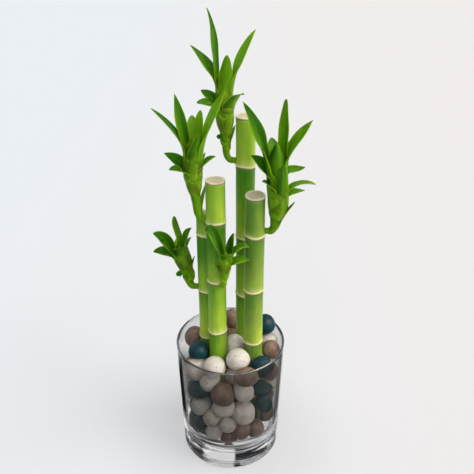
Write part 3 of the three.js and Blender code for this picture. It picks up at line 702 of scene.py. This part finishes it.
def stone_paint(name, base, light, dark, fleck, roughness):
    """Tumbled stone: clouded base, fine grain, scattered flecks and small pits"""
    paint = Paint(name, Specular_IOR_Level=0.3)
    cloud = paint.noise(6, 4)
    grain = paint.noise(0.8, 5, roughness=0.65)
    colour = paint.mix(paint.span(cloud, 0.35, 0.7), linear(*base), linear(*light))
    colour = paint.over(colour, paint.span(grain, 0.42, 0.66, 0.0, 0.5), dark)
    colour = paint.over(colour, paint.attribute("tone"), dark)
    flecks = paint.math("ADD", paint.dots(4.2, 0.09, 0.13), paint.dots(1.5, 0.06, 0.12))
    colour = paint.over(colour, paint.times(paint.math("MINIMUM", flecks, 1.0), 0.8), fleck)
    pits = paint.times(paint.dots(1.7, 0.05, 0.18), 0.5)
    paint.bump(paint.math("SUBTRACT", paint.times(grain, 0.7), pits), 0.3, 0.8)
    return paint.finish(colour, paint.span(grain, 0.3, 0.7, roughness, roughness + 0.14))


def arc(centre, height, radius, start, end, steps):
    turns = np.radians(np.linspace(start, end, steps))
    return [(centre + radius * math.cos(a), height + radius * math.sin(a)) for a in turns]


def outer_radius(z):
    return FOOT_RADIUS + (RIM_RADIUS - FOOT_RADIUS) * z / GLASS_HEIGHT


def inner_radius(z):
    share = (z - FLOOR_Z) / (GLASS_HEIGHT - FLOOR_Z)
    return outer_radius(z) - (WALL_AT_FLOOR + (WALL_AT_RIM - WALL_AT_FLOOR) * share)


def moulding(z):
    """How far the mould's waves and rings stand out from the wall at a height"""
    out = -RING_DEPTH * sum(bell(z - ring, RING_HALF_WIDTH) for ring in RING_HEIGHTS)
    for middle, spread, pitch in WAVES:
        out += WAVE_DEPTH * math.sin(2 * math.pi * z / pitch) * bell(z - middle, spread)
    return out


def make_glass(material):
    lip = WALL_AT_RIM / 2
    below_rim = GLASS_HEIGHT - RIM_BAND
    corner_top = FLOOR_Z + FLOOR_CORNER
    corner_radius = inner_radius(corner_top) - FLOOR_CORNER
    outline = list(UNDERSIDE)
    outline += arc(outer_radius(FOOT_EDGE) - FOOT_EDGE, FOOT_EDGE, FOOT_EDGE, -90, 0, FOOT_STEPS)
    for z in np.linspace(MOULDED_FROM, MOULDED_TO, MOULDED_ROWS):
        outline.append((outer_radius(z) + moulding(z), z))
    for z in np.linspace(PLAIN_WALL_FROM, below_rim, PLAIN_WALL_ROWS):
        outline.append((outer_radius(z), z))
    outline += arc(RIM_RADIUS - lip, GLASS_HEIGHT - lip, lip, 0, 180, CURVE_STEPS)
    for z in np.linspace(below_rim, corner_top + CORNER_BAND, INSIDE_ROWS):
        outline.append((inner_radius(z), z))
    outline += arc(corner_radius, corner_top, FLOOR_CORNER, 0, -90, CURVE_STEPS)
    outline += [(radius, FLOOR_Z - dip) for radius, dip in FLOOR_DIPS]
    rings = lathe(outline, GLASS_SIDES)
    polish = smooth((rings[..., 2] - GLASS_HEIGHT + POLISH_FROM) / POLISH_FADE)
    shape = Shape()
    shape.tube(rings, polish=polish)
    shape.piece("glass_body", "glass_tumbler", material)


def cane_heights(foot, head, rings):
    """Rows close together at the joints and wide apart between them"""
    rows = [foot, head]
    z = foot
    while z < head:
        near = min(abs(z - ring) for ring in rings)
        z += next(step for reach, step in ROW_STEPS if near < reach)
        rows.append(min(z, head))
    return np.unique(np.round(rows, 3))


def cane_rise(z, foot, head, rings, shades):
    """Depth of green from the foot to the top of each length: partly own colour, partly painted shade"""
    rise = np.zeros_like(z)
    ends = [foot - SHADES_BELOW, *sorted(rings), head + SHADES_ABOVE]
    for low, high, (pale, deep) in zip(ends, ends[1:], shades):
        inside = (z >= low) & (z < high)
        rise[inside] = (pale + (deep - pale) * (z - low) / (high - low))[inside]
    return rise


def band(above, place, half_width):
    return bell(above - place, half_width)


def joint_relief(above):
    """How far the skin stands out at a height above a joint's line"""
    relief = JOINT_SWELL * bell(np.maximum(above, 0), JOINT_SWELL_LENGTH) * (above > JOINT_LIP)
    for out, place, half_width in JOINT_BANDS:
        relief += out * band(above, place, half_width)
    return relief


def make_cane(name, x, y, top, rings, slant, far_side_shade, dull, shades, skin, cut, draw):
    foot = FLOOR_Z + STANDS_OVER_FLOOR
    head = top - SEAL_THICKNESS
    turn = np.linspace(0, 2 * math.pi, CANE_SIDES, endpoint=False)
    z, angle = np.meshgrid(cane_heights(foot, head, rings), turn, indexing="ij")
    oval, waver, _ = [draw.uniform(0, 2 * math.pi) for _ in range(3)]
    radius = CANE_RADIUS + CANE_OVAL * np.cos(2 * angle + oval)
    radius += CANE_WAVER * np.sin(z / CANE_WAVER_LENGTH + waver)
    # Painted shade deepens the green on the side away from the light on the right
    rise = cane_rise(z, foot, head, rings, shades) + far_side_shade * smooth(0.5 - 0.9 * np.cos(angle))
    joint, scar, wax = (np.zeros_like(z) for _ in range(3))
    for ring in rings:
        phase = draw.uniform(0, 2 * math.pi)
        line = ring + JOINT_WAVES[0] * np.cos(angle + phase)
        line += JOINT_WAVES[1] * np.cos(3 * angle + 2 * phase)
        above = z - line
        radius += joint_relief(above)
        patch = 0.5 + 0.5 * np.cos(2 * angle + 3 * phase)
        joint = np.maximum(joint, band(above, *PALE_MARK))
        scar = np.maximum(scar, SCAR_SHARE * band(above, *SCAR_MARK))
        wax = np.maximum(wax, patch * band(above, *WAX_MARK))
    points = np.stack([x + radius * np.cos(angle), y + radius * np.sin(angle), z], -1)
    # Painted shade on the foot of the cane, where it stands among the pebbles
    dark = FOOT_SHADE_SHARE * smooth((FOOT_SHADE_BELOW - z) / FOOT_SHADE_FADE)
    shape = Shape()
    shape.tube(points, rise=rise, joint=joint, scar=scar, wax=wax, foot=dark, dull=dull)
    shape.piece(f"stem_{name}", f"cane_{name}", skin)
    make_seal(name, x, y, top, slant, cut, draw)


def make_seal(name, x, y, top, slant, material, draw):
    base = top - SEAL_THICKNESS
    side = CANE_RADIUS + SEAL_OVERHANG
    outline = [(side + out, base + up) for out, up in SEAL_SIDE]
    outline += arc(side - SEAL_EDGE, top - SEAL_EDGE, SEAL_EDGE_RADIUS, 5, 90, 6)
    outline += [(side - inside, top - below) for inside, below in SEAL_DISH]
    for radius in np.linspace(*SEAL_FACE_REACH, SEAL_FACE_ROWS):
        outline.append((radius, top - SEAL_FACE_DEPTH + SEAL_FACE_RIPPLE * math.cos(3 * radius)))
    rings = lathe(outline, SEAL_SEGMENTS)
    turn = np.arctan2(rings[..., 1], rings[..., 0])
    reach = np.hypot(rings[..., 0], rings[..., 1])
    above = np.clip((rings[..., 2] - base) / SEAL_THICKNESS, 0, 1)
    phase = draw.uniform(0, 6)
    rings[..., 2] += above * SEAL_UNEVEN * np.cos(5 * turn + phase) * (reach / side)
    rings[..., 2] += above * rings[..., 1] * math.tan(math.radians(slant))
    lip = bell(reach - side + SEAL_LIP_IN, SEAL_LIP_WIDTH) * (above > 0.8)
    rings += (x, y, 0)
    shape = Shape()
    shape.tube(rings, lip=lip, side=above < 0.7)
    shape.piece(f"cut_top_{name}", f"seal_{name}", material)


class Spine:
    """The middle line of a shoot's body: a centripetal curve through its points"""

    def __init__(self, rows):
        rows = np.asarray(rows, float)
        self.knots = rows[:, :3]
        self.radii = rows[:, 3]

    def point(self, share):
        knots = self.knots
        last = len(knots) - 1
        place = min(max(share, 0.0), 1.0) * last
        i = min(int(place), last - 1)
        weight = place - i
        before = knots[i - 1] if i > 0 else 2 * knots[0] - knots[1]
        after = knots[i + 2] if i + 2 <= last else 2 * knots[last] - knots[last - 1]
        row = [before, knots[i], knots[i + 1], after]
        steps = [math.sqrt(np.linalg.norm(b - a)) for a, b in zip(row, row[1:])]
        first = (row[1] - row[0]) / steps[0] - (row[2] - row[0]) / (steps[0] + steps[1])
        first = (first + (row[2] - row[1]) / steps[1]) * steps[1]
        second = (row[2] - row[1]) / steps[1] - (row[3] - row[1]) / (steps[1] + steps[2])
        second = (second + (row[3] - row[2]) / steps[2]) * steps[1]
        w2, w3 = weight**2, weight**3
        point = (2 * w3 - 3 * w2 + 1) * row[1] + (w3 - 2 * w2 + weight) * first
        return point + (3 * w2 - 2 * w3) * row[2] + (w3 - w2) * second

    def tangent(self, share):
        low, high = max(share - LINE_STEP, 0), min(share + LINE_STEP, 1)
        return unit(self.point(high) - self.point(low))

    def radius(self, share):
        place = share * (len(self.radii) - 1)
        i = min(int(place), len(self.radii) - 2)
        ease = smooth(place - i) * 0.5 + (place - i) * 0.5
        return self.radii[i] + (self.radii[i + 1] - self.radii[i]) * ease

    def at_height(self, z):
        low, high = 0.0, 1.0
        for _ in range(HALVINGS):
            middle = (low + high) / 2
            if self.point(middle)[2] < z:
                low = middle
            else:
                high = middle
        return (low + high) / 2

    def frames(self, shares):
        """Places, directions and a side direction carried along without twist"""
        side = np.array([0.0, 1.0, 0.0])
        rows = []
        for share in shares:
            along = self.tangent(share)
            side = unit(side - along * side.dot(along))
            rows.append((self.point(share), along, side))
        return rows


def shaded(facing):
    """Painted shade deepening the green where a surface faces away from the light on the right"""
    return SHADE_DEPTH * (SHADE_MIDDLE - facing @ WINDOW)


def stalk(shape, spine, crown, tone):
    """The shoot's body, drawn in above the topmost leaf's height so that the leaves close it"""
    shares = np.linspace(0, 1, STALK_ROWS)
    turn = np.linspace(0, 2 * math.pi, STALK_SIDES, endpoint=False)
    crown_foot = crown - CROWN_DEPTH
    rings = []
    for share, (middle, along, side) in zip(shares, spine.frames(shares)):
        other = np.cross(along, side)
        above = (middle[2] - crown_foot) / (spine.knots[-1][2] - crown_foot)
        radius = spine.radius(share) * (1 - CROWN_DRAWN_IN * smooth(above))
        ring = middle + radius * (np.outer(np.cos(turn), side) + np.outer(np.sin(turn), other))
        rings.append(ring)
    into_cane = spine.tangent(0) * ROOT_INTO_CANE
    rings = np.array([rings[0] - into_cane] + rings)
    along = STALK_ALONG + STALK_ALONG_LENGTH * np.concatenate([[0], shares])[:, None]
    sides = rings - rings.mean(axis=1, keepdims=True)
    sides /= np.linalg.norm(sides, axis=2, keepdims=True)
    # The tone is the body's depth of green, partly painted shade, plus painted shade away from the light
    shape.tube(rings, along=along, across=0.5, tone=tone + BODY_CONTRAST * shaded(sides))


def blade_shape(share, blunt):
    """Half the blade's width as a share of its widest"""
    rising = ROOT_SHARE + (1 - ROOT_SHARE) * math.sin(math.pi / 2 * min(share / WIDEST_AT, 1))
    if share < WIDEST_AT:
        return rising
    beyond = (share - WIDEST_AT) / (1 - WIDEST_AT)
    power = 1 + (BLUNT_POWER - 1) * blunt
    return max((1 - beyond**BLADE_TAPER) ** power, TIP_SHARE)


def turned(vector, axis, angle):
    return (
        vector * math.cos(angle)
        + np.cross(axis, vector) * math.sin(angle)
        + axis * axis.dot(vector) * (1 - math.cos(angle))
    )


class Rib:
    """The middle line of a blade, from inside the body out to the tip"""

    def __init__(self, spine, at, tip, tilt):
        self.share = spine.at_height(at)
        self.along = spine.tangent(self.share)
        self.middle = spine.point(self.share)
        self.radius = spine.radius(self.share)
        end = np.array(tip, float)
        outward = end - self.middle
        self.outward = unit(outward - self.along * outward.dot(self.along))
        start = self.middle + self.outward * self.radius * ROOT_DEPTH
        length = np.linalg.norm(end - start)
        level = unit(self.outward * (1, 1, 0))
        way = level * math.cos(math.radians(tilt)) + UP * math.sin(math.radians(tilt))
        rise = start + self.along * length * RISE_ALONG + self.outward * length * RISE_OUT
        self.stops = np.array([start, rise, end - way * length * TIP_REACH, end])
        self.length = length

    def point(self, s):
        a, b, c, d = self.stops
        r = 1 - s
        return r**3 * a + 3 * r * r * s * b + 3 * r * s * s * c + s**3 * d

    def tangent(self, s):
        a, b, c, d = self.stops
        r = 1 - s
        return unit(3 * r * r * (b - a) + 6 * r * s * (c - b) + 3 * s * s * (d - c))


def section(middle, across, inward, half, bend, thickness, groove, edge):
    """Outer points from left to right, then inner ones back, their places across and painted shade"""
    side = np.linspace(-1, 1, BLADE_COLUMNS)
    turn = side * half * bend
    points = middle + np.outer(np.sin(turn) / bend, across)
    points += np.outer((1 - np.cos(turn)) / bend, inward)
    face = np.outer(np.cos(turn), inward) - np.outer(np.sin(turn), across)
    depth = edge + (thickness - edge) * (1 - side**2)
    dip = groove * bell(side, GROOVE_HALF_WIDTH)
    outer = points - face * (depth / 2 + dip * GROOVE_OUTSIDE)[:, None]
    inner = points + face * (depth / 2 - dip)[:, None]
    # Painted shade across the blade, deeper where its curl turns it away from the light
    shade = np.stack([shaded(-face), shaded(face)[::-1]])
    shade -= shade.mean(axis=1, keepdims=True)
    return np.concatenate([outer, inner[::-1]]), np.concatenate([side, side[::-1]]), shade.ravel()


def blade(shape, spine, body_tone, draw, at, tip, width, tilt, roll, blunt, depth_and_shade):
    rib = Rib(spine, at, tip, tilt)
    # Random tone, painted shade on a blade facing away from the light, and the leaf's depth, partly
    # painted shade
    tone = draw.uniform(*BLADE_TONES) + shaded(rib.outward) + depth_and_shade
    wave = draw.uniform(*EDGE_WAVES) * min(width / FULL_WIDTH, 1)
    phase = draw.uniform(0, 6)
    tight = 1 / max(rib.radius, TIGHTEST_CURL)
    level = np.cross(UP, rib.outward)
    root_lift = rib.outward * (rib.radius * (1 - ROOT_DEPTH) + SHEATH_STAND)
    rings, along, across_at, shades = sheath(spine, rib, width)
    for s in 1 - (1 - np.linspace(0, 1, BLADE_ROWS)) ** BLADE_SPACING:
        ahead = rib.tangent(s)
        across = unit(level - ahead * level.dot(ahead))
        across = turned(across, ahead, math.radians(roll) * min(s / ROLLED_AT, 1))
        inward = np.cross(ahead, across)
        bend = tight + (OPEN_CURL - tight) * min(s / OPENED_AT, 1)
        half = width / 2 * blade_shape(s, blunt)
        middle = rib.point(s) + root_lift * (1 - s) ** 4
        thickness = RIB_THICKNESS * (1 - RIB_THINS_BY * s)
        ring, side, shade = section(
            middle, across, inward, half, bend, thickness, RIB_GROOVE, EDGE_THICKNESS
        )
        freed = smooth(s * 3)
        sway = wave * math.sin(phase + s * rib.length / EDGE_WAVE_LENGTH) * freed
        rings.append(ring + np.outer(sway * np.abs(side) ** 2 * np.sign(side), inward))
        along.append(BLADE_ALONG + (1 - BLADE_ALONG) * s)
        across_at.append(side)
        shades.append((SHEATH_CONTRAST + (1 - SHEATH_CONTRAST) * freed) * shade)
    along = np.repeat(np.array(along)[:, None], 2 * BLADE_COLUMNS, axis=1)
    tones_and_shade = body_tone + (tone - body_tone) * smooth((along - SHEATH_ALONG) * 3)
    # Painted shade across the blade
    tones_and_shade += BLADE_CONTRAST * np.array(shades)
    shape.tube(np.array(rings), along=along, across=np.array(across_at), tone=tones_and_shade)


def sheath(spine, rib, width):
    """The leaf's clasping base, wrapped round the body below where the blade leaves it"""
    rings, along, across_at, shades = [], [], [], []
    reach = SHEATH_LENGTH * min(rib.radius, SHEATH_FULL_RADIUS) * min(width / SHEATH_FULL_WIDTH, 1)
    low = spine.at_height(rib.middle[2] - reach)
    shares = np.linspace(low, rib.share, SHEATH_ROWS, endpoint=False)
    top_wrap = width / 2 * ROOT_SHARE / max(rib.radius, TIGHTEST_CURL)
    for k, share in enumerate(shares):
        s = k / SHEATH_ROWS
        ahead = spine.tangent(share)
        outward = unit(rib.outward - ahead * rib.outward.dot(ahead))
        across = np.cross(ahead, outward)
        stand = (SHEATH_STAND + SHEATH_STANDS_MORE) * smooth(s * 2.2) - SHEATH_SUNK
        radius = spine.radius(share) + stand
        wrap = top_wrap + (SHEATH_HALF_TURN - top_wrap) * math.sin(math.pi * min(s * 1.1, 1)) ** 0.8
        wrap *= smooth(0.3 + s * 1.6)
        middle = spine.point(share) + outward * radius
        thickness = SHEATH_THICKNESS + (RIB_THICKNESS - SHEATH_THICKNESS) * s
        edge = SHEATH_EDGE + (EDGE_THICKNESS - SHEATH_EDGE) * s
        groove = SHEATH_GROOVE * s
        ring, side, shade = section(
            middle, across, -outward, wrap * radius, 1 / radius, thickness, groove, edge
        )
        rings.append(ring)
        along.append(SHEATH_ALONG + (BLADE_ALONG - SHEATH_ALONG) * s)
        across_at.append(side)
        shades.append(SHEATH_CONTRAST * shade)
    return rings, along, across_at, shades


def make_shoot(name, depth, spine, leaves, material, draw):
    line = Spine(spine)
    shape = Shape()
    stalk(shape, line, max(leaf[0] for leaf in leaves), depth)
    for leaf in leaves:
        blade(shape, line, depth, draw, *leaf)
    shape.piece(f"foliage_{name}", f"shoot_{name}", material)


def touching(face, waiting):
    """Faces that still wait and share an edge with this one where the surface doesn't fold in"""
    for edge in face.edges:
        if edge.calc_face_angle_signed(0.0) > -STONE_FOLD:
            for other in edge.link_faces:
                if other in waiting:
                    yield other


def stones_of(node):
    """Corners of each stone in a node, whose faces are parted where it folds sharply inward"""
    work = bmesh.new()
    work.from_mesh(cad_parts[node].data)
    bmesh.ops.remove_doubles(work, verts=work.verts, dist=SAME_POINT)
    bmesh.ops.recalc_face_normals(work, faces=work.faces)
    waiting = dict.fromkeys(work.faces)
    stones = []
    while waiting:
        group = [waiting.popitem()[0]]
        for face in group:
            for other in touching(face, waiting):
                del waiting[other]
                group.append(other)
        if len(group) > STONE_FEWEST_FACES:
            corners = dict.fromkeys(vert for face in group for vert in face.verts)
            stones.append(np.array([vert.co[:] for vert in corners]) / MM)
    work.free()
    return stones


def hull_planes(points, centre):
    """Facings and distances of the flat sides round the points"""
    work = bmesh.new()
    for point in points - centre:
        work.verts.new(point)
    made = bmesh.ops.convex_hull(work, input=work.verts)
    faces = [item for item in made["geom"] if isinstance(item, bmesh.types.BMFace)]
    for face in faces:
        face.normal_update()
    facings = np.array([face.normal[:] for face in faces])
    distances = np.array([face.normal.dot(face.verts[0].co) for face in faces])
    work.free()
    facings[distances < 0] *= -1
    return facings, np.abs(distances)


def ball(detail):
    work = bmesh.new()
    bmesh.ops.create_icosphere(work, subdivisions=detail, radius=1)
    ways = np.array([vert.co[:] for vert in work.verts])
    faces = [tuple(vert.index for vert in face.verts) for face in work.faces]
    work.free()
    return ways / np.linalg.norm(ways, axis=1)[:, None], faces


def unevenness(ways, draw):
    """A gentle unevenness over the stone, from a few broad waves"""
    total = np.zeros(len(ways))
    for turns in STONE_WAVES:
        way = np.array([draw.gauss(0, 1) for _ in range(3)])
        total += np.sin(turns * (ways @ way / np.linalg.norm(way)) + draw.uniform(0, 6)) / turns
    return total


def make_pebble(node, material, ways, near, faces, draw):
    shape = Shape()
    for corners in stones_of(node):
        centre = (corners.min(axis=0) + corners.max(axis=0)) / 2
        facings, distances = hull_planes(corners, centre)
        reach = 1 / (np.maximum(ways @ facings.T, 0) / distances).max(axis=1)
        reach = near @ reach + EDGE_GIVE
        reach *= 1 + STONE_UNEVEN * unevenness(ways, draw)
        shape.add(centre + ways * reach[:, None], faces, tone=draw.uniform(*STONE_TONES))
    shape.piece(node.replace("pebble", "stone"), node, material)


def make_pebbles(draw):
    ways, faces = ball(STONE_DETAIL)
    near = np.exp((ways @ ways.T - 1) / EDGE_ROUNDING**2)
    near /= near.sum(axis=1)[:, None]
    paints = {kind: stone_paint(f"stone_{kind}", *look) for kind, look in STONES.items()}
    for node in sorted(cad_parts):
        if node.startswith("pebble"):
            kind = node.split("_")[1]
            make_pebble(node, paints[kind], ways, near, faces, draw)


def make_floor():
    """Pale studio floor with a painted glow, cool on the left and warm on the right, and a painted shadow
    by the glass
    """
    paint = Paint("floor", 0.8, Specular_IOR_Level=0.1)
    # Cool on the left to warm on the right, a painted tint of the light
    side = paint.span(paint.axes()[0], *FLOOR_TURNS_WARM)
    colour = paint.mix(side, linear(*FLOOR_LEFT), linear(*FLOOR_RIGHT))
    reach = paint.tree.nodes.new("ShaderNodeVectorMath")
    reach.operation = "LENGTH"
    paint.link(paint.place, reach.inputs[0])
    # The glow is painted light, dimmed near the glass as a painted shadow
    glow = paint.span(
        reach.outputs["Value"], *FLOOR_PAINTED_SHADOW_REACH, FLOOR_PAINTED_SHADOW * FLOOR_PAINTED_GLOW, FLOOR_PAINTED_GLOW
    )
    paint.link(colour, paint.shader.inputs["Emission Color"])
    paint.link(glow, paint.shader.inputs["Emission Strength"])
    size = FLOOR_HALF_WIDTH
    corners = [(-size, -size, 0), (size, -size, 0), (size, size, 0), (-size, size, 0)]
    mesh = bpy.data.meshes.new("floor")
    mesh.from_pydata(corners, [], [(0, 1, 2, 3)])
    mesh.materials.append(paint.finish(paint.mix(FLOOR_DEPTH, colour, grey(0.0))))
    floor = bpy.data.objects.new("floor", mesh)
    floor.location.z = -FLOOR_DROP
    bpy.context.scene.collection.objects.link(floor)
    floor.visible_glossy = False
    floor.visible_transmission = False


def make_sun(name, way, strength, spread, colour):
    """Light that arrives from a direction, spread over a width of sky in degrees"""
    data = bpy.data.lights.new(name, "SUN")
    data.energy = strength
    data.angle = math.radians(spread)
    data.color = colour
    light = bpy.data.objects.new(name, data)
    x, y, z = unit(np.array(way))
    light.rotation_euler = (math.acos(z), 0, math.atan2(y, x) + math.pi / 2)
    bpy.context.scene.collection.objects.link(light)


def make_world():
    """Pale sky over a ground like the floor, with panels round about for the glass to show"""
    world = bpy.data.worlds.new("studio")
    world.use_nodes = True
    nodes = Nodes(world.node_tree, "Generated")
    to_right, to_back, rise = nodes.axes()
    turn = nodes.math("ARCTAN2", to_right, to_back)
    ground = nodes.mix(nodes.span(to_back, *SKY_BEHIND), grey(SKY_BELOW_FRONT), grey(SKY_BELOW_BACK))
    sky = nodes.mix(nodes.span(rise, *HORIZON), ground, linear(*SKY_ABOVE))
    for low, high, left, right, bright in PANELS:
        inside = nodes.span(rise, low, low + PANEL_EDGE)
        inside = nodes.times(inside, nodes.span(rise, high + PANEL_EDGE, high))
        inside = nodes.times(inside, nodes.span(turn, left - PANEL_EDGE, left))
        inside = nodes.times(inside, nodes.span(turn, right + PANEL_EDGE, right))
        sky = nodes.mix(inside, sky, grey(bright))
    background = nodes.tree.nodes["Background"]
    nodes.link(sky, background.inputs["Color"])
    background.inputs["Strength"].default_value = SKY_STRENGTH
    bpy.context.scene.world = world


def make_camera():
    data = bpy.data.cameras.new("camera")
    data.sensor_width = CAMERA_SENSOR
    data.lens = CAMERA_SENSOR * FOCAL_SHARE
    data.clip_start, data.clip_end = CAMERA_REACH
    camera = bpy.data.objects.new("camera", data)
    camera.location = CAMERA_AT
    camera.rotation_euler = (math.pi / 2 - CAMERA_PITCH, 0, 0)
    bpy.context.scene.collection.objects.link(camera)
    bpy.context.scene.camera = camera


def main():
    draw = random.Random(SEED)
    make_camera()
    make_glass(glass_paint())
    skin, cut = cane_paint(), seal_paint()
    for name, numbers in CANES.items():
        make_cane(name, **numbers, skin=skin, cut=cut, draw=draw)
    foliage = leaf_paint()
    for name, numbers in SHOOTS.items():
        make_shoot(name, **numbers, material=foliage, draw=draw)
    make_pebbles(draw)
    make_floor()
    make_world()
    for name, light in SUNS.items():
        make_sun(name, *light)
    bpy.context.scene.view_settings.view_transform = "Standard"


main()
